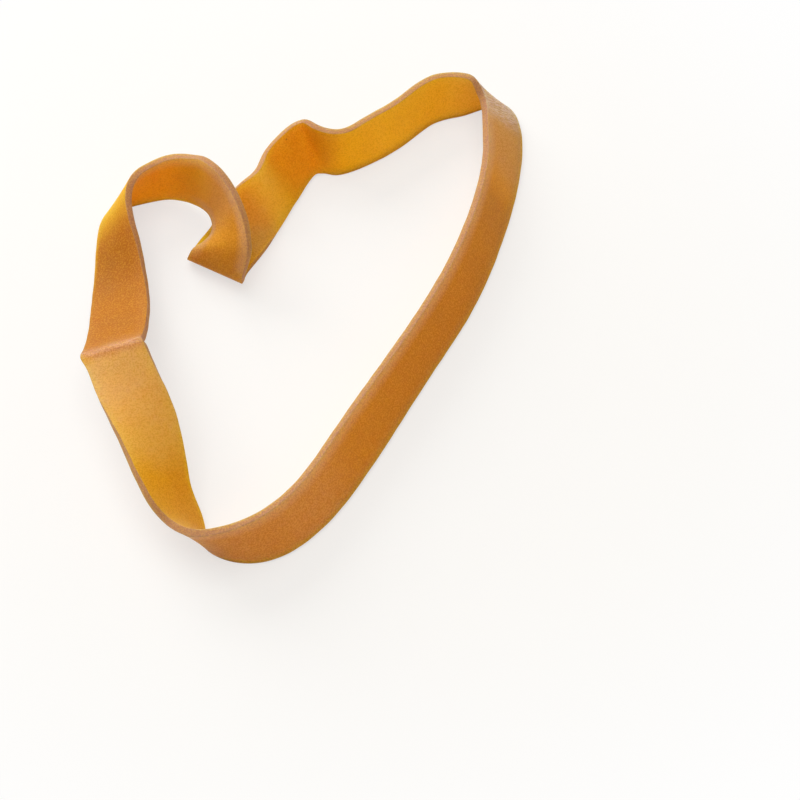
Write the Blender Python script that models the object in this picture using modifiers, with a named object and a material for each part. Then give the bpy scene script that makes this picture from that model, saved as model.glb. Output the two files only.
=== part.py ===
"""Rubber band: one endless loop of flat rubber strip lying open on a bench.

The strip stands on its lower rim along the front, the top and the far side.
The left leg climbs to a sharp crease and drops again, and the small curl after
it passes over its own lower layer, where the strip folds under itself.
"""
import math

import bpy
import numpy as np

# Sizes of the band itself, in metres
FLAT_LENGTH = 0.089
CUT_WIDTH = 0.00635
THICKNESS = 0.0008
EDGE_ROUND = 0.00008
EDGE_ROUND_SEGMENTS = 2

# Height of the lower rim over the bench at the two raised places, in metres
CREASE_LIFT = 0.0069
CROSSING_LIFT = 0.0030

# Fineness of the surface along and across the strip
STEP = 0.0007
FEWEST_STEPS = 3
MOST_STEPS = 10
COLUMNS = 2

# Smallest slope of the cross line that counts, which keeps a level strip's height smooth
LEVEL_SOFTENING = 0.06

# A bend sharper than this between neighbouring faces is a long edge of the strip
LONG_EDGE_ANGLE = math.radians(50.0)

# Rounds of fitting the way round to the flat length
FIT_ROUNDS = 4

# Rubber, natural amber
RUBBER_COLOUR = (0.58, 0.26, 0.05, 1.0)
RUBBER_ROUGHNESS = 0.55
RUBBER_METALLIC = 0.0

# Stations along the middle of the strip, each one
# x and y in millimetres, share of the raised height,
# compass bearing in degrees of the line across the strip, its dip in degrees
LEFT_LEG = (
    (-11.4, -26.0, 0.04, 38, 54),
    (-12.8, -23.6, 0.23, 26, 43),
    (-13.8, -21.0, 0.54, 31, 31),
    (-14.7, -18.1, 0.77, 22, 12),
    (-16.0, -15.3, 0.93, 14, -3),
    (-17.3, -12.8, 0.97, 9, -13),
    (-18.6, -10.0, 1.00, 6, -19),
    (-18.8, -9.4, 0.99, 4, -20),
    (-18.8, -8.7, 0.93, 3, -20),
    (-19.1, -2.3, 0.38, 1, -20),
    (-19.6, 2.7, 0.07, -2, -30),
)
CURL = (
    (-20.1, 6.8, 0.00, -7, -42),
    (-20.6, 10.6, 0.00, -14, -54),
    (-20.4, 12.9, 0.00, -15, -62),
    (-19.4, 14.4, 0.00, -14, -70),
    (-18.0, 15.2, 0.00, -5, -75),
    (-15.0, 15.8, 0.13, 7, -81),
    (-12.6, 14.8, 0.40, 20, -82),
    (-10.7, 12.9, 0.80, 9, -79),
    (-9.3, 10.9, 1.00, -6, -72),
    (-8.6, 9.0, 0.95, -12, -62),
    (-8.5, 7.5, 0.90, -17, -47),
    (-8.8, 6.3, 0.87, -22, -30),
    (-9.3, 5.6, 0.75, -26, -14),
    (-9.8, 5.4, 0.40, -29, -4),
    (-9.8, 6.4, 0.00, -29, 0),
)
RESTING = (
    (-8.1, 9.5, 0.0, -29, 2),
    (-7.0, 11.4, 0.0, -29, 9),
    (-5.9, 12.8, 0.0, -29, 31),
    (-4.6, 14.0, 0.0, -23, 54),
    (-3.1, 17.3, 0.0, -28, 53),
    (-1.8, 19.4, 0.0, -31, 59),
    (-0.8, 20.4, 0.0, -44, 61),
    (-0.1, 20.6, 0.0, -52, 63),
    (0.8, 20.2, 0.0, -48, 73),
    (2.4, 19.7, 0.0, -72, 85),
    (5.6, 21.1, 0.0, -72, 83),
    (9.6, 24.1, 0.0, -51, 82),
    (13.4, 27.3, 0.0, -46, 82),
    (16.3, 27.9, 0.0, 5, 82),
    (18.2, 28.0, 0.0, 42, 68),
    (19.6, 27.1, 0.0, 36, 54),
    (20.3, 25.3, 0.0, 26, 50),
    (20.5, 22.4, 0.0, 18, 50),
    (20.3, 18.6, 0.0, 11, 55),
    (18.4, 9.8, 0.0, -3, 62),
    (15.3, 1.5, 0.0, -12, 63),
    (11.0, -6.6, 0.0, -18, 65),
    (4.1, -18.7, 0.0, -51, 59),
    (0.3, -24.4, 0.0, -55, 66),
    (-4.3, -27.9, 0.0, -56, 79),
    (-7.5, -28.4, 0.0, 60, 84),
    (-10.0, -27.7, 0.0, 60, 68),
)
MILLIMETRE = 0.001

BAND_NAME = "rubber_band"
MATERIAL_NAME = "amber_rubber"


def clear_scene():
    """Remove whatever the scene holds."""
    for thing in list(bpy.data.objects):
        bpy.data.objects.remove(thing, do_unlink=True)


def unit_rows(rows):
    """Each row scaled to length one."""
    return rows / np.linalg.norm(rows, axis=1, keepdims=True)


def stations():
    """Plan position, lift of the lower rim and cross direction of every station."""
    rows = []
    for group, rise in ((LEFT_LEG, CREASE_LIFT), (CURL, CROSSING_LIFT), (RESTING, 0.0)):
        for x, y, share, bearing, dip in group:
            turn = math.radians(bearing)
            fall = math.radians(dip)
            across = (
                math.cos(fall) * math.cos(turn),
                math.cos(fall) * math.sin(turn),
                -math.sin(fall),
            )
            rows.append((x * MILLIMETRE, y * MILLIMETRE, share * rise, *across))
    table = np.array(rows)
    return table[:, :2], table[:, 2], table[:, 3:]


def middle_height(across):
    """Height of the strip's middle over its lowest corner, for a cross line of half-width units."""
    slope = np.hypot(across[:, 2], LEVEL_SOFTENING)
    level = np.minimum(np.hypot(across[:, 0], across[:, 1]), 1.0)
    return CUT_WIDTH / 2 * slope + THICKNESS / 2 * level


def closed_spline(knots, chords, counts):
    """Smooth closed curve through the knots: a periodic cubic in the chord length."""
    total = len(knots)
    before = np.roll(chords, 1)
    slope = (np.roll(knots, -1, axis=0) - knots) / chords[:, None]
    system = np.zeros((total, total))
    for row in range(total):
        system[row, row] += 2 * (before[row] + chords[row])
        system[row, (row - 1) % total] += before[row]
        system[row, (row + 1) % total] += chords[row]
    bend = np.linalg.solve(system, 6 * (slope - np.roll(slope, 1, axis=0)))
    bend_after = np.roll(bend, -1, axis=0)
    pieces = []
    for row in range(total):
        along = (np.arange(counts[row]) / counts[row] * chords[row])[:, None]
        start = slope[row] - chords[row] * (2 * bend[row] + bend_after[row]) / 6
        change = (bend_after[row] - bend[row]) / (6 * chords[row])
        pieces.append(knots[row] + start * along + bend[row] / 2 * along**2 + change * along**3)
    return np.concatenate(pieces)


def strip_rims(scale):
    """The two rims of the strip's middle surface, and the length of its middle line."""
    plan, lift, across = stations()
    plan = plan * scale
    lift = lift * scale
    knots = np.column_stack([plan, lift + middle_height(across), lift, across])
    chords = np.linalg.norm(np.roll(knots[:, :3], -1, axis=0) - knots[:, :3], axis=1)
    counts = np.clip(np.ceil(chords / STEP).astype(int), FEWEST_STEPS, MOST_STEPS)
    rows = closed_spline(knots, chords, counts)
    middle = rows[:, :3].copy()
    lift = np.maximum(rows[:, 3], 0.0)
    across = unit_rows(rows[:, 4:])
    tangent = unit_rows(np.roll(middle, -1, axis=0) - np.roll(middle, 1, axis=0))
    squareness = np.linalg.norm(np.cross(tangent, across), axis=1, keepdims=True)
    across = across / squareness
    middle[:, 2] = lift + middle_height(across)
    length = np.linalg.norm(np.roll(middle, -1, axis=0) - middle, axis=1).sum()
    return middle - across * CUT_WIDTH / 2, middle + across * CUT_WIDTH / 2, length


def fitted_rims():
    """Rims of a strip whose middle line is twice the flat length."""
    scale = 1.0
    for _ in range(FIT_ROUNDS):
        length = strip_rims(scale)[2]
        scale *= 2 * FLAT_LENGTH / length
    left, right, _ = strip_rims(scale)
    return left, right


def strip_object(left, right):
    """Closed ribbon of quads between the two rims."""
    count = len(left)
    share = np.linspace(0.0, 1.0, COLUMNS + 1)
    points = left[:, None, :] + (right - left)[:, None, :] * share[None, :, None]
    faces = []
    for step in range(count):
        here = step * (COLUMNS + 1)
        after = (step + 1) % count * (COLUMNS + 1)
        for column in range(COLUMNS):
            faces.append((here + column, here + column + 1, after + column + 1, after + column))
    mesh = bpy.data.meshes.new(BAND_NAME)
    mesh.from_pydata(points.reshape(-1, 3).tolist(), [], faces)
    mesh.validate()
    band = bpy.data.objects.new(BAND_NAME, mesh)
    collection = bpy.data.collections.new(BAND_NAME)
    bpy.context.scene.collection.children.link(collection)
    collection.objects.link(band)
    return band


def give_thickness(band):
    """Thicken the ribbon on both sides and round its four long edges."""
    shell = band.modifiers.new("strip_thickness", "SOLIDIFY")
    shell.thickness = THICKNESS
    shell.offset = 0.0
    shell.use_even_offset = True
    shell.use_quality_normals = True
    rounding = band.modifiers.new("cut_edges", "BEVEL")
    rounding.width = EDGE_ROUND
    rounding.segments = EDGE_ROUND_SEGMENTS
    rounding.limit_method = "ANGLE"
    rounding.angle_limit = LONG_EDGE_ANGLE


def rest_on_bench(band):
    """Put the lowest point on the bench and the middle of the box over the origin."""
    graph = bpy.context.evaluated_depsgraph_get()
    solid = band.evaluated_get(graph).to_mesh()
    flat = np.empty(len(solid.vertices) * 3)
    solid.vertices.foreach_get("co", flat)
    points = flat.reshape(-1, 3)
    low = points.min(axis=0)
    high = points.max(axis=0)
    shift = np.array([-(low[0] + high[0]) / 2, -(low[1] + high[1]) / 2, -low[2]])
    for vertex in band.data.vertices:
        vertex.co.x += shift[0]
        vertex.co.y += shift[1]
        vertex.co.z += shift[2]
    band.data.update()


def rubber():
    """Matt amber rubber."""
    material = bpy.data.materials.new(MATERIAL_NAME)
    material.use_nodes = True
    shader = material.node_tree.nodes["Principled BSDF"]
    shader.inputs["Base Color"].default_value = RUBBER_COLOUR
    shader.inputs["Roughness"].default_value = RUBBER_ROUGHNESS
    shader.inputs["Metallic"].default_value = RUBBER_METALLIC
    material.diffuse_color = RUBBER_COLOUR
    return material


def main():
    """Build the band."""
    clear_scene()
    left, right = fitted_rims()
    band = strip_object(left, right)
    band.data.materials.append(rubber())
    band.data.shade_smooth()
    give_thickness(band)
    rest_on_bench(band)


main()
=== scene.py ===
"""One wide amber rubber band lying slack and open on a white bench.

The band is a single endless strip. Its fine surface is a rounded section carried
along a closed route, which stands on its lower rim along the front, the far side
and the right, climbs to a sharp crease on the left, and passes over itself in a
small curl at the far left corner.
"""
from __future__ import annotations

import logging
import math
from dataclasses import dataclass, field, replace
from enum import Enum

import bpy
import numpy as np
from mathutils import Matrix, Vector

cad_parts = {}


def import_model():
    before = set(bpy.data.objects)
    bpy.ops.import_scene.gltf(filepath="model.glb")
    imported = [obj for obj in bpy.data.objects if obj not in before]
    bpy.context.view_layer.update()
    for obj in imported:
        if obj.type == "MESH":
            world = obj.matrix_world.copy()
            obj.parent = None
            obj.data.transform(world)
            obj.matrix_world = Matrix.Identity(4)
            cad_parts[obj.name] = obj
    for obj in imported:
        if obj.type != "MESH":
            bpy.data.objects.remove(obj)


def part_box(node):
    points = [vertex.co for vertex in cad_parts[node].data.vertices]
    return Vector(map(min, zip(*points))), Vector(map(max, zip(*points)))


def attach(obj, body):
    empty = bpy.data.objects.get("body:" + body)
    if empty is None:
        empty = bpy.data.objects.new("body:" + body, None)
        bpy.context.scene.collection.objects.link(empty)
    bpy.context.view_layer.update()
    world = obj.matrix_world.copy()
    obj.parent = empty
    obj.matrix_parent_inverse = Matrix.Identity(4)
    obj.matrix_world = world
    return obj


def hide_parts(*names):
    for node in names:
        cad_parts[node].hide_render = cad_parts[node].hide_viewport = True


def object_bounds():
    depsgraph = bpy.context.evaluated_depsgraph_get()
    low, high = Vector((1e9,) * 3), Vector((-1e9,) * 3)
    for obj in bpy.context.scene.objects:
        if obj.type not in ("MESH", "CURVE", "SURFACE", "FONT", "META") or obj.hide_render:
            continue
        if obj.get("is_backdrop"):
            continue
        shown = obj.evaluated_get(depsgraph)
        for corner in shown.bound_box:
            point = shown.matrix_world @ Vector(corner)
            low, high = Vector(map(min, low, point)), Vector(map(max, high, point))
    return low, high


LOG = logging.getLogger("rubber_band")

BODY = "root"
BAND_NODE = "rubber_band"
RUBBER_SLOT = "amber_rubber"

MILLIMETRE = 0.001
FULL_TURN = 2 * math.pi

Socket = bpy.types.NodeSocket
Colour = tuple[float, float, float]
Place = tuple[float, float, float]
StationRow = tuple[float, float, float, float, float]

PLAIN_WHITE: Colour = (1.0, 1.0, 1.0)
COOL_WHITE: Colour = (0.98, 1.0, 1.03)


class Rise(Enum):
    """Height of the lower rim over the bench at the top of a raised stretch, in metres."""

    CREASE = 0.0069
    CROSSING = 0.0030
    NONE = 0.0


class StripData(Enum):
    """Named values that the band's mesh carries for its finish."""

    PLACE = "strip_place"
    RIM = "cut_rim"
    SIDE = "broad_side"
    STRAIN = "surface_strain"
    # Painted shade: darker, deeper amber where other bands shade this one
    DEEPER_SHADE = "painted_deeper_shade"
    # Painted glow: clearer, saturated amber of light through the rubber where it lies in shade
    CLEARER_GLOW = "painted_clearer_glow"
    # Dust, partly a painted sheen where the strip's top faces the light
    DUST_AND_SHEEN = "dust_and_lit_sheen"
    # Frost on the bends, partly a painted highlight
    FROST_AND_HIGHLIGHT = "frost_and_highlight_bend"


PATCH_CHANGES = (StripData.DEEPER_SHADE, StripData.CLEARER_GLOW, StripData.DUST_AND_SHEEN, StripData.FROST_AND_HIGHLIGHT)


@dataclass(frozen=True)
class Stretch:
    """A run of stations along the middle of the strip.

    Each row holds x and y in millimetres, the share of the stretch's rise, the
    compass bearing in degrees of the line across the strip, and that line's dip.
    """

    rise: Rise
    rows: tuple[StationRow, ...]

    def table(self) -> np.ndarray:
        """Place, lift and cross direction of every station.

        The cross direction is a line of length one that points along the bearing
        and falls by the dip.

        Returns:
            One row a station: x, y, lift, then the three parts of the direction.
        """
        x, y, share, bearing, dip = np.array(self.rows, float).T
        turn = np.radians(bearing)
        fall = np.radians(dip)
        return np.column_stack(
            [
                x * MILLIMETRE,
                y * MILLIMETRE,
                share * self.rise.value,
                np.cos(fall) * np.cos(turn),
                np.cos(fall) * np.sin(turn),
                -np.sin(fall),
            ]
        )


LEFT_LEG = Stretch(
    Rise.CREASE,
    (
        (-11.4, -26.0, 0.04, 38, 54),
        (-12.9, -23.6, 0.243, 33, 45),
        (-13.9, -21.0, 0.47, 29, 34),
        (-14.9, -18.1, 0.71, 23, 20),
        (-16.1, -15.3, 0.94, 16, 4),
        (-17.3, -12.8, 0.985, 10, -9),
        (-18.6, -10.0, 1.00, 6, -19),
        (-18.9, -9.4, 0.995, 5, -20),
        (-18.95, -8.9, 0.94, 4, -20),
        (-19.1, -2.3, 0.38, 1, -20),
        (-19.6, 2.7, 0.07, -2, -30),
    ),
)
CURL = Stretch(
    Rise.CROSSING,
    (
        (-20.1, 6.8, 0.00, -7, -42),
        (-20.6, 10.6, 0.00, -14, -54),
        (-20.4, 12.9, 0.00, -15, -62),
        (-19.4, 14.4, 0.00, -14, -70),
        (-18.0, 15.2, 0.00, -5, -75),
        (-15.0, 15.8, 0.13, 7, -81),
        (-12.6, 14.8, 0.40, 20, -82),
        (-10.7, 12.9, 0.80, 9, -79),
        (-9.3, 10.9, 1.00, -6, -72),
        (-8.6, 9.0, 0.95, -12, -62),
        (-8.5, 7.5, 0.90, -17, -47),
        (-8.8, 6.3, 0.87, -22, -30),
        (-9.3, 5.6, 0.75, -26, -14),
        (-9.8, 5.4, 0.40, -29, -4),
        (-9.8, 6.4, 0.00, -29, 0),
    ),
)
RESTING = Stretch(
    Rise.NONE,
    (
        (-8.1, 9.5, 0.0, -29, 2),
        (-7.0, 11.4, 0.0, -29, 9),
        (-5.9, 12.8, 0.0, -29, 31),
        (-4.6, 14.0, 0.0, -23, 54),
        (-3.1, 17.3, 0.0, -28, 53),
        (-1.8, 19.4, 0.0, -31, 59),
        (-0.8, 20.4, 0.0, -44, 61),
        (-0.1, 20.6, 0.0, -52, 63),
        (0.8, 20.2, 0.0, -48, 73),
        (2.4, 19.7, 0.0, -72, 85),
        (5.6, 21.1, 0.0, -72, 83),
        (9.6, 24.1, 0.0, -51, 82),
        (13.4, 27.3, 0.0, -46, 82),
        (16.3, 27.9, 0.0, 5, 82),
        (18.2, 28.0, 0.0, 42, 68),
        (19.6, 27.1, 0.0, 36, 54),
        (20.3, 25.3, 0.0, 26, 50),
        (20.5, 22.4, 0.0, 18, 50),
        (20.3, 18.6, 0.0, 11, 55),
        (18.4, 9.8, 0.0, -3, 62),
        (15.3, 1.5, 0.0, -12, 63),
        (11.0, -6.6, 0.0, -18, 65),
        (4.1, -18.7, 0.0, -51, 59),
        (0.3, -24.4, 0.0, -55, 66),
        (-4.3, -27.9, 0.0, -56, 79),
        (-7.5, -28.4, 0.0, 60, 84),
        (-10.0, -27.7, 0.0, 60, 68),
    ),
)


def unit_rows(rows: np.ndarray) -> np.ndarray:
    """Each row scaled to length one."""
    return rows / np.linalg.norm(rows, axis=1, keepdims=True)


def step_ahead(rows: np.ndarray) -> np.ndarray:
    """From each row to the next one, the last row being followed by the first."""
    return np.roll(rows, -1, axis=0) - rows


def step_over(rows: np.ndarray) -> np.ndarray:
    """From the row before each row to the row after it."""
    return np.roll(rows, -1, axis=0) - np.roll(rows, 1, axis=0)


def smooth_step(value: np.ndarray, start: float, end: float) -> np.ndarray:
    """0 before start, 1 after end, and the cubic 3t^2 - 2t^3 between them."""
    share = np.clip((value - start) / (end - start), 0.0, 1.0)
    return share * share * (3.0 - 2.0 * share)


def closed_spline(knots: np.ndarray, count: int) -> np.ndarray:
    """Smooth closed curve through the knots.

    Between two knots it is the cubic whose second derivative runs straight from
    the bend at the one to the bend at the other. The bends are the ones that make
    the slope the same on both sides of every knot.

    Args:
        knots: One row a knot. The first three columns are its place.
        count: Number of rows wanted, at even shares of the sum of the chords.

    Returns:
        The curve's rows, as many columns wide as the knots.
    """
    chords = np.linalg.norm(step_ahead(knots[:, :3]), axis=1)
    before = np.roll(chords, 1)
    slope = step_ahead(knots) / chords[:, None]
    own = np.eye(len(knots))
    system = (
        own * (2.0 * (before + chords))[:, None]
        + np.roll(own, -1, axis=1) * before[:, None]
        + np.roll(own, 1, axis=1) * chords[:, None]
    )
    bend = np.linalg.solve(system, 6.0 * (slope - np.roll(slope, 1, axis=0)))
    bend_after = np.roll(bend, -1, axis=0)
    marks = np.concatenate([[0.0], np.cumsum(chords)])
    places = np.arange(count) / count * marks[-1]
    span = np.searchsorted(marks, places, side="right") - 1
    along = (places - marks[span])[:, None]
    chord = chords[span][:, None]
    start = slope[span] - chord * (2.0 * bend[span] + bend_after[span]) / 6.0
    change = (bend_after[span] - bend[span]) / (6.0 * chord)
    return knots[span] + start * along + bend[span] / 2.0 * along**2 + change * along**3


@dataclass(frozen=True)
class StripPath:
    """The strip's way round, one row a ring.

    middle is the middle line, across the line from rim to rim, stretched where it
    lies askew so that the strip keeps its cut width, normal the direction through
    the strip, and bend the curvature towards the normal.
    """

    middle: np.ndarray
    across: np.ndarray
    normal: np.ndarray
    bend: np.ndarray

    @property
    def length(self) -> float:
        """Length of the middle line, as the sum of its steps."""
        return float(np.linalg.norm(step_ahead(self.middle), axis=1).sum())


@dataclass
class Route:
    """Closed route of a strip that rests on its lower rim.

    The stations are scaled together until the middle line is twice the length of
    the band pressed flat. A strip that is lifted past held_above is held up by its
    own stiffness alone, and one below held_from by its rim.
    """

    flat_length: float
    cut_width: float
    thickness: float
    rings: int
    stretches: tuple[Stretch, ...] = (LEFT_LEG, CURL, RESTING)
    level_softening: float = 0.06
    held_from: float = 0.0035
    held_above: float = 0.0055
    fit_rounds: int = 4

    def middle_height(self, across: np.ndarray) -> np.ndarray:
        """Height of the strip's middle over its lowest corner.

        It is half the width times the slope of the cross line, plus half the
        thickness times that line's share that lies level. The softening keeps the
        slope from turning sharply where the line is level.

        Args:
            across: Cross lines, one a row, in units of the half width.

        Returns:
            One height a row, in metres.
        """
        slope = np.hypot(across[:, 2], self.level_softening)
        level = np.minimum(np.hypot(across[:, 0], across[:, 1]), 1.0)
        return self.cut_width / 2 * slope + self.thickness / 2 * level

    def path(self, scale: float) -> StripPath:
        """The path with the stations' places and lifts multiplied by scale.

        The cross line is divided by the sine of its angle with the tangent, which
        keeps the strip's width. The height of the middle then puts the lower rim
        at the lift. Where the strip is high over the bench, the middle keeps the
        height of the smooth curve through the stations instead.

        Args:
            scale: Factor on every place and lift.

        Returns:
            The path, as many rows as rings.
        """
        stations = np.concatenate([stretch.table() for stretch in self.stretches])
        plan = stations[:, :2] * scale
        lift = stations[:, 2] * scale
        across = stations[:, 3:]
        knots = np.column_stack([plan, lift + self.middle_height(across), lift, across])
        rows = closed_spline(knots, self.rings)
        middle = rows[:, :3].copy()
        tangent = unit_rows(step_over(middle))
        across = unit_rows(rows[:, 4:])
        across = across / np.linalg.norm(np.cross(tangent, across), axis=1, keepdims=True)
        rested = np.maximum(rows[:, 3], 0.0) + self.middle_height(across)
        held = smooth_step(rows[:, 3], self.held_from, self.held_above)
        middle[:, 2] = rested + (rows[:, 2] - rested) * held
        tangent = unit_rows(step_over(middle))
        normal = unit_rows(np.cross(tangent, across))
        step = np.linalg.norm(step_over(middle), axis=1)
        bend = (step_over(tangent) * normal).sum(axis=1) / step
        return StripPath(middle, across, normal, bend)

    def fitted(self) -> StripPath:
        """The path whose middle line is twice the flat length.

        Each round multiplies the scale by the length wanted over the length there is.

        Returns:
            The path.
        """
        scale = 1.0
        for _ in range(self.fit_rounds):
            scale *= 2.0 * self.flat_length / self.path(scale).length
        return self.path(scale)


@dataclass
class StripSection:
    """Rounded rectangle that the strip is cut to, drawn anticlockwise.

    across and through are the section's points in metres, measured from the middle
    of the strip.
    """

    cut_width: float
    thickness: float
    edge_round: float
    corner_points: int = 5
    face_points: int = 13
    rim_points: int = 4
    across: np.ndarray = field(init=False)
    through: np.ndarray = field(init=False)

    def __post_init__(self) -> None:
        """Lay out the four corners and the straight sides between them.

        A corner is a quarter circle of the edge radius, and a side has evenly
        spaced points from the end of one corner to the start of the next.
        """
        flat = self.cut_width / 2 - self.edge_round
        deep = self.thickness / 2 - self.edge_round
        centres = np.array([[flat, deep], [-flat, deep], [-flat, -deep], [flat, -deep]])
        inner = (self.face_points, self.rim_points, self.face_points, self.rim_points)
        pieces = []
        for quarter, (centre, count) in enumerate(zip(centres, inner)):
            angle = np.linspace(quarter, quarter + 1, self.corner_points) * math.pi / 2
            arc = centre + self.edge_round * np.column_stack([np.cos(angle), np.sin(angle)])
            after = centres[(quarter + 1) % len(centres)] - centre
            share = np.linspace(0.0, 1.0, count + 2)[1:-1, None]
            pieces += [arc, arc[-1] + after * share]
        self.across, self.through = np.concatenate(pieces).T

    def rim_share(self) -> np.ndarray:
        """1 on the cut rims, 0 on the broad faces, changing over round the corners."""
        reach = np.abs(self.across)
        return smooth_step(reach, self.cut_width / 2 - self.edge_round, self.cut_width / 2)

    def side_share(self) -> np.ndarray:
        """1 on the outer broad face, -1 on the inner one, and in between on the rims."""
        return np.clip(self.through / (self.thickness / 2), -1.0, 1.0)


@dataclass(frozen=True)
class Ripple:
    """Slow wandering of a size along the strip: a mean of sine waves, from 0 to 1.

    Each wave is its number of turns round the strip and its phase.
    """

    depth: float
    waves: tuple[tuple[int, float], ...]

    def along(self, turn: np.ndarray) -> np.ndarray:
        """The ripple's depth at each ring.

        Args:
            turn: Share of the way round, as an angle from 0 to two pi.

        Returns:
            A number of metres from 0 to the depth at each ring.
        """
        counts, phases = np.array(self.waves, float).T
        waves = np.sin(turn[:, None] * counts + phases)
        return self.depth * (0.5 + 0.5 * waves.mean(axis=1))


@dataclass(frozen=True)
class Patch:
    """Round patch of painted shade, painted glow, dust with a painted sheen, or frost that is partly
    a painted highlight: which value it raises, its middle, reach and amount.

    The middle and the reach are in millimetres, seen from above.
    """

    change: StripData
    middle: tuple[float, float]
    reach: float
    amount: float

    def over(self, points: np.ndarray) -> np.ndarray:
        """The patch's amount at each point: full up to half its reach, then fading to nothing.

        Args:
            points: Places in metres, one a row.

        Returns:
            One number a row.
        """
        away = np.linalg.norm(points[:, :2] / MILLIMETRE - np.array(self.middle), axis=1)
        return self.amount * (1.0 - smooth_step(away, self.reach / 2, self.reach))


def new_mesh_object(name: str, points: np.ndarray, faces: np.ndarray) -> bpy.types.Object:
    """Object with a smooth mesh, at the origin and linked to the scene.

    Args:
        name: Name of the object and of its mesh.
        points: Vertices, one a row, in metres.
        faces: Corners of the four-sided faces, one face a row.

    Returns:
        The object.
    """
    mesh = bpy.data.meshes.new(name)
    mesh.from_pydata(points.tolist(), [], faces.tolist())
    mesh.validate()
    mesh.update()
    mesh.shade_smooth()
    thing = bpy.data.objects.new(name, mesh)
    bpy.context.scene.collection.objects.link(thing)
    return thing


@dataclass(frozen=True)
class Ramp:
    """Smooth change of one value from low to high while another goes from start to end."""

    start: float
    end: float
    low: float = 0.0
    high: float = 1.0

    def inward(self, half: float) -> Ramp:
        """The change over the distance from the middle, for a ramp measured in from the rim."""
        return replace(self, start=half - self.start, end=half - self.end)


@dataclass(frozen=True)
class Grain:
    """Noise whose blotches are about size metres across.

    Where a scale is given, it divides the blotches' size along each axis, so a
    number below one draws them out.
    """

    size: float
    detail: float = 2.0
    roughness: float = 0.5
    scale: Place | None = None


class NodeBoard:
    """Short way to lay out and join the nodes of one material or world."""

    def __init__(self, owner: bpy.types.Material | bpy.types.World) -> None:
        """Clear the owner's nodes and keep its tree.

        Args:
            owner: The material or world.
        """
        owner.use_nodes = True
        self.tree = owner.node_tree
        self.tree.nodes.clear()

    def add(self, kind: str, settings: dict | None = None, **inputs: object) -> bpy.types.Node:
        """A node with its settings made and its inputs set or joined.

        Args:
            kind: Name of the node's type, without the common first part.
            settings: The node's own properties.
            **inputs: Value or output socket for each input, by the input's name with
                underscores for spaces, or by i and its number.

        Returns:
            The node.
        """
        node = self.tree.nodes.new("ShaderNode" + kind)
        for key, value in (settings or {}).items():
            setattr(node, key, value)
        for key, value in inputs.items():
            numbered = key[0] == "i" and key[1:].isdigit()
            socket = node.inputs[int(key[1:])] if numbered else node.inputs[key.replace("_", " ")]
            if isinstance(value, Socket):
                self.tree.links.new(value, socket)
            elif socket.type == "RGBA":
                socket.default_value = (*value, 1.0)
            else:
                socket.default_value = value
        return node

    def math(self, operation: str, first: object, second: object = 0.0) -> Socket:
        """Output of a Math node that works on two numbers."""
        return self.add("Math", {"operation": operation}, i0=first, i1=second).outputs[0]

    def product(self, first: object, *others: object) -> Socket:
        """All the numbers multiplied together.

        Args:
            first: The first number or output.
            *others: The rest of them.

        Returns:
            The output of the last Math node.
        """
        for other in others:
            first = self.math("MULTIPLY", first, other)
        return first

    def total(self, first: object, *others: object) -> Socket:
        """All the numbers added up.

        Args:
            first: The first number or output.
            *others: The rest of them.

        Returns:
            The output of the last Math node.
        """
        for other in others:
            first = self.math("ADD", first, other)
        return first

    def ramp(self, value: Socket, ramp: Ramp) -> Socket:
        """Output that follows the ramp as the value moves.

        Args:
            value: The output that moves.
            ramp: The change wanted.

        Returns:
            The output that follows.
        """
        node = self.add(
            "MapRange",
            {"interpolation_type": "SMOOTHSTEP"},
            Value=value,
            From_Min=ramp.start,
            From_Max=ramp.end,
            To_Min=ramp.low,
            To_Max=ramp.high,
        )
        return node.outputs[0]

    def blend(self, share: object, first: object, second: object) -> Socket:
        """Colour between first and second, by a share from 0 to 1."""
        # The node keeps its two colours in inputs 6 and 7 and their blend in output 2
        settings = {"data_type": "RGBA", "blend_type": "MIX"}
        return self.add("Mix", settings, i0=share, i6=first, i7=second).outputs[2]

    def shade(self, value: Socket, colour: Socket) -> Socket:
        """Colour made lighter or darker by the value, which leaves it as it is at 1."""
        return self.add("HueSaturation", None, Value=value, Color=colour).outputs[0]

    def noise(self, vector: Socket, grain: Grain) -> Socket:
        """The grain's noise over a vector.

        Args:
            vector: The places, in metres.
            grain: Size and kind of the noise.

        Returns:
            The noise, around a half.
        """
        if grain.scale is not None:
            vector = self.add("Mapping", None, Vector=vector, Scale=grain.scale).outputs[0]
        node = self.add(
            "TexNoise",
            None,
            Vector=vector,
            Scale=1.0 / grain.size,
            Detail=grain.detail,
            Roughness=grain.roughness,
        )
        return node.outputs[0]

    def height(self, vector: Socket) -> Socket:
        """The third part of a vector."""
        return self.add("SeparateXYZ", None, Vector=vector).outputs["Z"]

    def stored(self, name: StripData, output: str = "Fac") -> Socket:
        """One of the named values on the band's mesh."""
        settings = {"attribute_type": "GEOMETRY", "attribute_name": name.value}
        return self.add("Attribute", settings).outputs[output]


@dataclass(frozen=True)
class Speck:
    """Few tiny specks of one colour: the middles of chosen cells of a Voronoi pattern.

    scale is the number of cells a metre, and a cell is chosen where its own random
    number passes the threshold.
    """

    colour: Colour
    scale: float
    threshold: float
    strength: float = 0.8
    dot_over_distance: Ramp = Ramp(0.05, 0.03)

    def over(self, board: NodeBoard, place: Socket, colour: Socket) -> Socket:
        """The colour with the specks on it.

        Args:
            board: Board of the material.
            place: The vector that the cells are laid out in.
            colour: The colour under the specks.

        Returns:
            The new colour.
        """
        cells = board.add("TexVoronoi", None, Vector=place, Scale=self.scale).outputs
        number = board.add("SeparateColor", None, Color=cells["Color"]).outputs[0]
        chosen = board.math("GREATER_THAN", number, self.threshold)
        dot = board.ramp(cells["Distance"], self.dot_over_distance)
        return board.blend(board.product(dot, chosen, self.strength), colour, self.colour)


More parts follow.
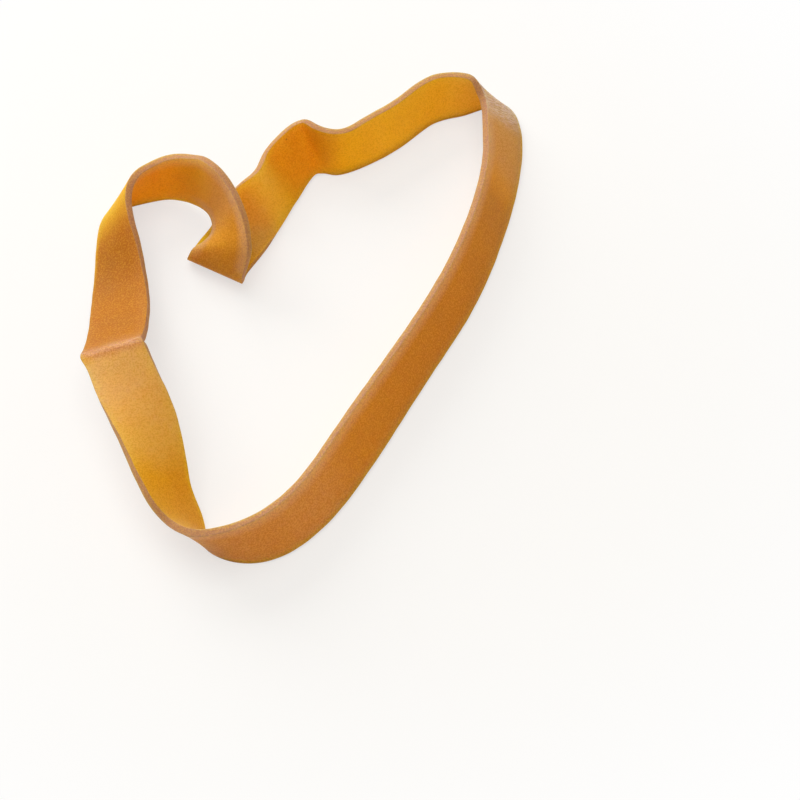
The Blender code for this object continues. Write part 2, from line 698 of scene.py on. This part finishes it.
@dataclass(frozen=True)
class BandReadings:
    """What the rubber's layers read off the band.

    half is half the width of the strip and reach the distance across from its
    middle, both in metres. height is the height over the bench, side goes from -1
    on the inner face to 1 on the outer, and outer is that as a share of the outer
    face. stretched is the strength of the frosting. The rest are noises.
    """

    half: float
    place: Socket
    height: Socket
    reach: Socket
    side: Socket
    outer: Socket
    stretched: Socket
    cloud: Socket
    dust: Socket
    wrinkle: Socket
    knife: Socket


@dataclass(frozen=True)
class AmberRubber:
    """Natural amber rubber: matt, dusty and slightly translucent.

    Its colour is a row of layers, each blended over the one before: the body, with
    painted glow on the inner face and in the clearer patches and painted shade on the
    outer face and in the deeper patches; the powder, with a painted sheen in its dusty
    patches; a painted highlight along the rims and a painted glow along the foot; the
    frosted bends, partly a painted highlight; the cut rims; the grain and the specks.
    A ramp's name says what it gives and what that depends on. A ramp over the rim
    starts and ends at distances in from the rim.
    """

    name: str = RUBBER_SLOT

    # Body: the inner face is painted brighter, a painted glow of light through the rubber, and the
    # outer face painted darker, as painted shade
    inner: Colour = (0.89, 0.46, 0.010)
    outer: Colour = (0.57, 0.24, 0.012)
    # Painted shade: the colour of the deeper patches
    deep: Colour = (0.43, 0.143, 0.005)
    # Painted glow: the colour of the clearer patches
    clear: Colour = (0.92, 0.385, 0.002)
    cloud: Grain = Grain(0.007, 3.0)
    outer_over_side: Ramp = Ramp(-0.3, 0.5)
    shade_over_cloud: Ramp = Ramp(0.3, 0.7, 0.94, 1.04)

    # Powder, with a painted sheen on lit tops in its dusty patches
    # The powder's colour, also used for the painted highlight along the rims
    bloom_and_highlight: Colour = (0.70, 0.44, 0.32)
    dust: Grain = Grain(0.00016)
    patch_powder_and_sheen: float = 0.28
    powder_over_outer: Ramp = Ramp(0.0, 1.0, 0.02, 0.06)
    powder_over_dust: Ramp = Ramp(0.25, 0.75, 0.6, 1.2)
    powder_over_cloud: Ramp = Ramp(0.35, 0.65, 0.8, 1.1)

    # Painted highlight along the rims, strongest high over the bench, and painted glow along the foot
    # Painted glow: the bright colour of the foot, as light shining through the lower rim
    edge: Colour = (1.0, 0.41, 0.03)
    highlight_over_rim: Ramp = Ramp(0.0016, 0.0003)
    highlight_over_side: Ramp = Ramp(0.2, 0.8, 0.03, 0.40)
    highlight_over_height: Ramp = Ramp(0.0020, 0.0040, 0.2, 1.0)
    glow_over_height: Ramp = Ramp(0.0011, 0.0002, 0.0, 0.6)
    glow_over_rim: Ramp = Ramp(0.0016, 0.0006)

    # Frosted bends: pale stretch wrinkles, partly a painted highlight on the bends
    frost_and_highlight: Colour = (1.0, 0.76, 0.68)
    wrinkle: Grain = Grain(0.00013, 2.0, 0.6, (1.0, 1.0, 0.15))
    frost_over_strain: Ramp = Ramp(0.2, 0.5, 0.0, 0.2)
    frost_over_wrinkle: Ramp = Ramp(0.40, 0.62, 0.2, 0.85)

    # Cut rims
    rim: Colour = (0.42, 0.19, 0.105)
    knife: Grain = Grain(0.00025, 2.0, 0.6, (0.25, 0.25, 1.0))
    knife_bloom: float = 0.3
    cut_over_rim: Ramp = Ramp(0.00005, 0.00001, 0.0, 0.9)
    cut_over_height: Ramp = Ramp(0.0010, 0.0022, 0.35, 1.0)

    # Grain and specks
    dark_grain: Colour = (0.36, 0.11, 0.004)
    pale_grain: Colour = (0.98, 0.58, 0.06)
    dark_over_dust: Ramp = Ramp(0.55, 0.35, 0.0, 0.22)
    pale_over_dust: Ramp = Ramp(0.45, 0.65, 0.0, 0.19)
    specks: tuple[Speck, ...] = (
        Speck((0.16, 0.07, 0.02), 380.0, 0.93),
        Speck((0.90, 0.72, 0.52), 450.0, 0.94),
    )

    # Gloss, relief and the light inside the rubber
    refraction: float = 1.5
    gloss: float = 0.10
    roughness_over_cloud: Ramp = Ramp(0.3, 0.7, 0.48, 0.62)
    dust_relief: float = 0.25
    knife_relief: float = 0.4
    relief_strength: float = 0.35
    relief_depth: float = 0.00006
    scatter_reach: Colour = (1.0, 0.86, 0.14)
    scatter_depth: float = 0.0030
    scatter_over_rim: Ramp = Ramp(0.0004, 0.00005, 1.0, 0.45)

    def material(self, cut_width: float) -> bpy.types.Material:
        """The rubber as a material for a strip that carries its named values.

        Args:
            cut_width: Width of the strip in metres.

        Returns:
            The material.
        """
        material = bpy.data.materials.new(self.name)
        board = NodeBoard(material)
        band = self.readings(board, cut_width / 2)
        colour = self.body(board, band)
        for layer in (self.powdered, self.edged, self.frosted, self.cut, self.grained):
            colour = layer(board, band, colour)
        for speck in self.specks:
            colour = speck.over(board, band.place, colour)
        shader = board.add(
            "BsdfPrincipled",
            {"subsurface_method": "RANDOM_WALK"},
            Base_Color=colour,
            Roughness=board.ramp(band.cloud, self.roughness_over_cloud),
            IOR=self.refraction,
            Specular_IOR_Level=self.gloss,
            Normal=self.relief(board, band),
            Subsurface_Weight=board.ramp(band.reach, self.scatter_over_rim.inward(band.half)),
            Subsurface_Radius=self.scatter_reach,
            Subsurface_Scale=self.scatter_depth,
        )
        board.add("OutputMaterial", None, Surface=shader.outputs[0])
        return material

    def readings(self, board: NodeBoard, half: float) -> BandReadings:
        """Lay out the nodes that read the band.

        Args:
            board: Board of the material.
            half: Half the width of the strip in metres.

        Returns:
            The outputs that the layers share.
        """
        place = board.add("TexCoord").outputs["Object"]
        strip = board.stored(StripData.PLACE, "Vector")
        side = board.stored(StripData.SIDE)
        outer = board.ramp(side, self.outer_over_side)
        strained = board.ramp(board.stored(StripData.STRAIN), self.frost_over_strain)
        frosted = board.product(board.stored(StripData.FROST_AND_HIGHLIGHT), outer)
        return BandReadings(
            half=half,
            place=place,
            height=board.height(place),
            reach=board.math("ABSOLUTE", board.height(strip)),
            side=side,
            outer=outer,
            stretched=board.math("MAXIMUM", strained, frosted),
            cloud=board.noise(place, self.cloud),
            dust=board.noise(place, self.dust),
            wrinkle=board.noise(strip, self.wrinkle),
            knife=board.noise(strip, self.knife),
        )

    def body(self, board: NodeBoard, band: BandReadings) -> Socket:
        """The two faces' colours, clearer and then deeper in patches, with soft clouds. The inner
        face carries a painted glow and the outer face painted shade.

        Args:
            board: Board of the material.
            band: What is read off the band.

        Returns:
            The colour of the rubber itself.
        """
        # Painted glow and shade: bright yellow on the inner face, darker amber on the outer face
        plain = board.blend(band.outer, self.inner, self.outer)
        # Painted glow in the clearer patches
        plain = board.blend(board.stored(StripData.CLEARER_GLOW), plain, self.clear)
        # Painted shade in the deeper patches
        plain = board.blend(board.stored(StripData.DEEPER_SHADE), plain, self.deep)
        return board.shade(board.ramp(band.cloud, self.shade_over_cloud), plain)

    def powdered(self, board: NodeBoard, band: BandReadings, colour: Socket) -> Socket:
        """The colour under powder, which is thicker on the outer face and in the dusty patches, where
        it also carries a painted sheen on lit tops.

        Args:
            board: Board of the material.
            band: What is read off the band.
            colour: The colour of the layers so far.

        Returns:
            The new colour.
        """
        # Dust plus a painted sheen in the dustier patches
        patches = board.product(board.stored(StripData.DUST_AND_SHEEN), self.patch_powder_and_sheen)
        powder = board.product(
            board.total(board.ramp(band.outer, self.powder_over_outer), patches),
            board.ramp(band.dust, self.powder_over_dust),
            board.ramp(band.cloud, self.powder_over_cloud),
        )
        return board.blend(powder, colour, self.bloom_and_highlight)

    def edged(self, board: NodeBoard, band: BandReadings, colour: Socket) -> Socket:
        """The colour with a painted highlight along the rims and a painted glow along the foot above
        the bench.

        Args:
            board: Board of the material.
            band: What is read off the band.
            colour: The colour of the layers so far.

        Returns:
            The new colour.
        """
        # Painted highlight: pale band along the rims of the outer face, high over the bench
        border = board.product(
            board.ramp(band.reach, self.highlight_over_rim.inward(band.half)),
            board.ramp(band.side, self.highlight_over_side),
            board.ramp(band.height, self.highlight_over_height),
        )
        # Painted glow: bright amber along the foot, just above the bench
        foot = board.product(
            board.ramp(band.height, self.glow_over_height),
            board.ramp(band.reach, self.glow_over_rim.inward(band.half)),
        )
        return board.blend(foot, board.blend(border, colour, self.bloom_and_highlight), self.edge)

    def frosted(self, board: NodeBoard, band: BandReadings, colour: Socket) -> Socket:
        """The colour with pale fine wrinkles across the strip where a bend stretches it, partly a
        painted highlight on the bends.
        """
        frosting = board.product(band.stretched, board.ramp(band.wrinkle, self.frost_over_wrinkle))
        return board.blend(frosting, colour, self.frost_and_highlight)

    def cut(self, board: NodeBoard, band: BandReadings, colour: Socket) -> Socket:
        """The colour with dull cut rims, paler where the knife left its marks.

        Args:
            board: Board of the material.
            band: What is read off the band.
            colour: The colour of the layers so far.

        Returns:
            The new colour.
        """
        rim = board.blend(board.product(band.knife, self.knife_bloom), self.rim, self.bloom_and_highlight)
        share = board.product(
            board.ramp(band.reach, self.cut_over_rim.inward(band.half)),
            board.ramp(band.height, self.cut_over_height),
        )
        return board.blend(share, colour, rim)

    def grained(self, board: NodeBoard, band: BandReadings, colour: Socket) -> Socket:
        """The colour with the dust's dark hollows and pale tops."""
        darker = board.blend(board.ramp(band.dust, self.dark_over_dust), colour, self.dark_grain)
        return board.blend(board.ramp(band.dust, self.pale_over_dust), darker, self.pale_grain)

    def relief(self, board: NodeBoard, band: BandReadings) -> Socket:
        """Normal bumped by the dust, the wrinkles of the bends and the marks of the knife.

        Args:
            board: Board of the material.
            band: What is read off the band.

        Returns:
            The normal.
        """
        height = board.total(
            board.product(band.dust, self.dust_relief),
            board.product(band.wrinkle, band.stretched),
            board.product(board.stored(StripData.RIM), self.knife_relief, band.knife),
        )
        return board.add(
            "Bump",
            None,
            Strength=self.relief_strength,
            Distance=self.relief_depth,
            Height=height,
        ).outputs[0]


@dataclass(frozen=True)
class BenchPaper:
    """White paper of the bench, which fades into the white beyond it."""

    name: str = "bench_paper"
    lit: Colour = (1.0, 0.965, 0.90)
    bounce: Colour = (0.86, 0.84, 0.81)
    tooth: Grain = Grain(0.004, 3.0)
    shade_over_tooth: Ramp = Ramp(0.2, 0.8, 0.992, 1.0)
    white_over_distance: Ramp = Ramp(0.03, 0.08, 0.62, 1.0)

    def material(self) -> bpy.types.Material:
        """The paper: one colour to the camera and a duller one to the light it throws back.

        Returns:
            The material.
        """
        material = bpy.data.materials.new(self.name)
        board = NodeBoard(material)
        rays = board.add("LightPath").outputs
        seen = board.math("MAXIMUM", rays["Is Camera Ray"], rays["Is Glossy Ray"])
        seen = board.math("MAXIMUM", seen, rays["Is Transmission Ray"])
        place = board.add("TexCoord").outputs["Object"]
        shade = board.ramp(board.noise(place, self.tooth), self.shade_over_tooth)
        colour = board.shade(shade, board.blend(seen, self.bounce, self.lit))
        paper = board.add("BsdfDiffuse", None, Color=colour).outputs[0]
        white = board.add("Emission", None, Color=PLAIN_WHITE, Strength=1.0).outputs[0]
        distance = board.add("VectorMath", {"operation": "LENGTH"}, i0=place).outputs["Value"]
        fade = board.product(board.ramp(distance, self.white_over_distance), seen)
        mixed = board.add("MixShader", None, i0=fade, i1=paper, i2=white).outputs[0]
        board.add("OutputMaterial", None, Surface=mixed)
        return material


@dataclass
class RubberBand:
    """The band: one rounded section carried round the closed route."""

    flat_length: float = 0.089
    cut_width: float = 0.00635
    thickness: float = 0.0008
    edge_round: float = 0.00008
    rings: int = 1500
    rim_wander: Ripple = Ripple(0.00005, ((23, 0.4), (41, 2.1), (67, 4.0)))
    face_wander: Ripple = Ripple(0.00002, ((31, 1.3), (53, 3.2), (89, 0.2)))
    finish: AmberRubber = AmberRubber()
    patches: tuple[Patch, ...] = (
        # Painted shade: the deeper patches, on the panel above the crease and where other bands shade
        # the strip
        Patch(StripData.DEEPER_SHADE, (-20.5, 2.0), 12.0, 1.0),
        Patch(StripData.DEEPER_SHADE, (-21.3, -7.4), 3.4, 0.95),
        Patch(StripData.DEEPER_SHADE, (-19.0, -7.3), 3.4, 0.95),
        Patch(StripData.DEEPER_SHADE, (-16.7, -7.1), 3.4, 0.95),
        Patch(StripData.DEEPER_SHADE, (-17.0, -12.5), 7.0, 0.22),
        Patch(StripData.CLEARER_GLOW, (-14.5, -18.0), 9.0, 0.35),
        Patch(StripData.DEEPER_SHADE, (-11.5, -26.0), 8.5, 0.28),
        Patch(StripData.DEEPER_SHADE, (-1.8, 19.4), 6.0, 0.35),
        Patch(StripData.DEEPER_SHADE, (-7.0, 10.0), 5.0, 0.35),
        Patch(StripData.DEEPER_SHADE, (13.0, -2.0), 12.0, 0.15),
        # Painted glow: the clearer patches, where the strip lies in shade and light shows through it
        Patch(StripData.CLEARER_GLOW, (-14.2, 15.8), 8.5, 0.85),
        Patch(StripData.CLEARER_GLOW, (-2.6, 19.8), 4.5, 0.8),
        Patch(StripData.CLEARER_GLOW, (-7.0, 9.0), 5.0, 0.5),
        Patch(StripData.CLEARER_GLOW, (20.3, 19.0), 7.0, 0.5),
        # Dust and painted sheen: the dustier patches, paler where the strip's top faces the light
        Patch(StripData.DUST_AND_SHEEN, (10.5, 24.5), 8.0, 0.2),
        Patch(StripData.DUST_AND_SHEEN, (-16.2, -14.6), 8.4, 1.08),
        Patch(StripData.DUST_AND_SHEEN, (-18.6, -11.8), 4.2, 0.6),
        Patch(StripData.DUST_AND_SHEEN, (-21.3, -10.6), 2.6, 0.5),
        Patch(StripData.DUST_AND_SHEEN, (-6.5, 12.0), 5.5, 0.6),
        Patch(StripData.DUST_AND_SHEEN, (22.5, 23.5), 10.5, 1.0),
        Patch(StripData.DUST_AND_SHEEN, (-2.0, -30.0), 15.0, 0.6),
        # Frost, partly a painted highlight: the far right bend
        Patch(StripData.FROST_AND_HIGHLIGHT, (19.3, 28.0), 5.8, 0.85),
    )

    def turns(self) -> np.ndarray:
        """Every ring's share of the way round, as an angle from 0 to two pi."""
        return np.arange(self.rings) / self.rings * FULL_TURN

    def surface(self, low: Vector, high: Vector) -> tuple[np.ndarray, StripPath, StripSection]:
        """Vertices of the strip, set into the box of its solid.

        A vertex is the middle of its ring, plus its distance across along the cross
        line, plus its distance through along the normal. Both distances are drawn in
        a little by the wander of the cut. The whole is then moved to the middle of
        the box's bottom and made just small enough for the box.

        Args:
            low: Lowest corner of the solid's box.
            high: Highest corner of the solid's box.

        Returns:
            The vertices, one row each, the path and the section.
        """
        path = Route(self.flat_length, self.cut_width, self.thickness, self.rings).fitted()
        section = StripSection(self.cut_width, self.thickness, self.edge_round)
        turn = self.turns()
        narrow = 1.0 - self.rim_wander.along(turn) / (self.cut_width / 2)
        thin = 1.0 - self.face_wander.along(turn) / (self.thickness / 2)
        across = section.across[None, :, None] * narrow[:, None, None]
        through = section.through[None, :, None] * thin[:, None, None]
        points = path.middle[:, None] + across * path.across[:, None] + through * path.normal[:, None]
        points = points.reshape(-1, 3)
        box_low, box_high = np.array(low), np.array(high)
        own_low, own_high = points.min(axis=0), points.max(axis=0)
        fit = min(1.0, float(((box_high - box_low) / (own_high - own_low)).min()))
        bottom_middle = np.array([0.5, 0.5, 0.0])
        own_foot = own_low + (own_high - own_low) * bottom_middle
        box_foot = box_low + (box_high - box_low) * bottom_middle
        move = np.round((box_foot - own_foot) / MILLIMETRE, 3)
        LOG.info("band: fit %.5f, moved by %s mm", fit, move)
        return (points - own_foot) * fit + box_foot, path, section

    def faces(self, section: StripSection) -> np.ndarray:
        """Four-sided faces between each ring and the next, with their sides out.

        A face joins a point to the next point of its ring and to the same two points
        of the next ring.

        Args:
            section: The section that every ring repeats.

        Returns:
            Numbers of the four corners, one face a row.
        """
        around = len(section.across)
        ring = np.arange(self.rings)[:, None]
        point = np.arange(around)[None, :]
        ring_after = (ring + 1) % self.rings
        point_after = (point + 1) % around
        corners = [
            ring * around + point,
            ring * around + point_after,
            ring_after * around + point_after,
            ring_after * around + point,
        ]
        return np.stack(corners, axis=-1).reshape(-1, 4)

    def store(
        self, band: bpy.types.Object, points: np.ndarray, path: StripPath, section: StripSection
    ) -> None:
        """Keep the named values on the mesh.

        The place along the strip is a point on a circle as long as the middle line,
        with the distance across as its height, so a pattern closes without a seam.
        The strain of a face is its distance from the middle of the strip times the
        bend away from it.

        Args:
            band: The band's object.
            points: The band's vertices, one a row.
            path: The way round.
            section: The section.
        """
        turn = self.turns()[:, None]
        radius = path.length / FULL_TURN
        shape = (self.rings, len(section.across))
        parts = (radius * np.cos(turn), radius * np.sin(turn), section.across[None, :])
        place = np.stack([np.broadcast_to(part, shape) for part in parts], axis=-1)
        numbers = {change: np.zeros(shape) for change in PATCH_CHANGES}
        for patch in self.patches:
            numbers[patch.change] += patch.over(points).reshape(shape)
        numbers[StripData.RIM] = np.broadcast_to(section.rim_share()[None, :], shape)
        numbers[StripData.SIDE] = np.broadcast_to(section.side_share()[None, :], shape)
        numbers[StripData.STRAIN] = -path.bend[:, None] * section.through[None, :]
        attributes = band.data.attributes
        spot = attributes.new(StripData.PLACE.value, "FLOAT_VECTOR", "POINT")
        spot.data.foreach_set("vector", place.astype(np.float32).ravel())
        for name, values in numbers.items():
            kept = attributes.new(name.value, "FLOAT", "POINT")
            kept.data.foreach_set("value", values.astype(np.float32).ravel())

    def build(self, low: Vector, high: Vector) -> bpy.types.Object:
        """Make the band, give it its finish and put it on the frame.

        Args:
            low: Lowest corner of the solid's box.
            high: Highest corner of the solid's box.

        Returns:
            The band's object.
        """
        points, path, section = self.surface(low, high)
        band = new_mesh_object("amber_rubber_band", points, self.faces(section))
        self.store(band, points, path, section)
        band.data.materials.append(self.finish.material(self.cut_width))
        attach(band, BODY)
        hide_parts(BAND_NODE)
        strain = np.abs(path.bend).max() * self.thickness / 2
        LOG.info("band: %.1f mm round, strain up to %.2f", path.length / MILLIMETRE, strain)
        return band


@dataclass(frozen=True)
class SoftLamp:
    """Square soft lamp that gives the bench a share of the plain level.

    At the plain level a surface renders about as its colour is written.
    """

    name: str
    place: Place
    side: float
    share: float
    tint: Colour

    def hang(self, aim: Vector) -> None:
        """Make the lamp and point it.

        The power is the share times pi squared times the distance squared, divided by
        the sine of the lamp's height over the bench as seen from the aim.

        Args:
            aim: The point it faces.
        """
        away = Vector(self.place) - aim
        lamp = bpy.data.lights.new(self.name, "AREA")
        lamp.shape = "SQUARE"
        lamp.size = self.side
        lamp.color = self.tint
        lamp.energy = self.share * math.pi**2 * away.length_squared / (away.z / away.length)
        thing = bpy.data.objects.new(self.name, lamp)
        thing.location = self.place
        thing.rotation_euler = away.to_track_quat("Z", "Y").to_euler()
        bpy.context.scene.collection.objects.link(thing)


@dataclass
class Studio:
    """White bench under soft light that comes mostly from the far left."""

    bench_side: float = 3.0
    sky_share: float = 0.30
    sky_tint: Colour = (1.0, 0.90, 0.76)
    lamps: tuple[SoftLamp, ...] = (
        SoftLamp("softbox_far_left", (-0.28, 0.38, 0.28), 0.40, 0.38, COOL_WHITE),
        SoftLamp("softbox_over", (-0.06, 0.0, 0.58), 0.50, 0.47, COOL_WHITE),
    )
    paper: BenchPaper = BenchPaper()

    def lay_bench(self) -> bpy.types.Object:
        """The bench: one flat square under the band.

        Returns:
            The bench's object.
        """
        half = self.bench_side / 2
        corners = np.array([[-half, -half, 0], [half, -half, 0], [half, half, 0], [-half, half, 0]])
        bench = new_mesh_object("bench", corners, np.array([[0, 1, 2, 3]]))
        bench.data.materials.append(self.paper.material())
        return bench

    def light(self, aim: Vector) -> None:
        """Hang the lamps and set the sky's soft light, which is white to the camera.

        Args:
            aim: The point that the lamps face.
        """
        for lamp in self.lamps:
            lamp.hang(aim)
        world = bpy.data.worlds.new("soft_sky")
        board = NodeBoard(world)
        seen = board.add("LightPath").outputs["Is Camera Ray"]
        soft = board.add("Background", None, Color=self.sky_tint, Strength=self.sky_share).outputs[0]
        white = board.add("Background", None, Color=PLAIN_WHITE, Strength=1.0).outputs[0]
        either = board.add("MixShader", None, i0=seen, i1=soft, i2=white).outputs[0]
        board.add("OutputWorld", None, Surface=either)
        bpy.context.scene.world = world


@dataclass
class PhotoCamera:
    """Camera over the front of the bench, at the photograph's angle."""

    aim: Place = (0.0093, -0.0098, 0.0)
    elevation: float = 57.0
    distance: float = 0.2233
    lens: float = 100.0
    sensor: float = 36.0
    nearest: float = 0.01
    farthest: float = 10.0

    def place(self) -> None:
        """Make the camera, put it in place and make it the scene's own."""
        rise = math.radians(self.elevation)
        data = bpy.data.cameras.new("photo_camera")
        data.lens = self.lens
        data.sensor_width = self.sensor
        data.clip_start = self.nearest
        data.clip_end = self.farthest
        camera = bpy.data.objects.new("photo_camera", data)
        back = Vector((0.0, -math.cos(rise), math.sin(rise)))
        camera.location = Vector(self.aim) + back * self.distance
        camera.rotation_euler = (math.pi / 2 - rise, 0.0, 0.0)
        bpy.context.scene.collection.objects.link(camera)
        bpy.context.scene.camera = camera


def main() -> tuple[Vector, Vector]:
    """Build the band and its studio.

    Returns:
        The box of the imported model, before anything is added.
    """
    logging.basicConfig(level=logging.INFO, format="%(message)s")
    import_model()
    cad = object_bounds()
    bpy.context.scene.view_settings.view_transform = "Standard"
    band = RubberBand().build(*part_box(BAND_NODE))
    LOG.info("%s: %d vertices, %d faces", band.name, len(band.data.vertices), len(band.data.polygons))
    studio = Studio()
    bench = studio.lay_bench()
    bench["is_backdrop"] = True
    studio.light(Vector((0.0, 0.0, 0.0)))
    LOG.info("%s: %.1f m square", bench.name, studio.bench_side)
    PhotoCamera().place()
    return cad


if __name__ == "__main__":
    CAD_BOX = main()
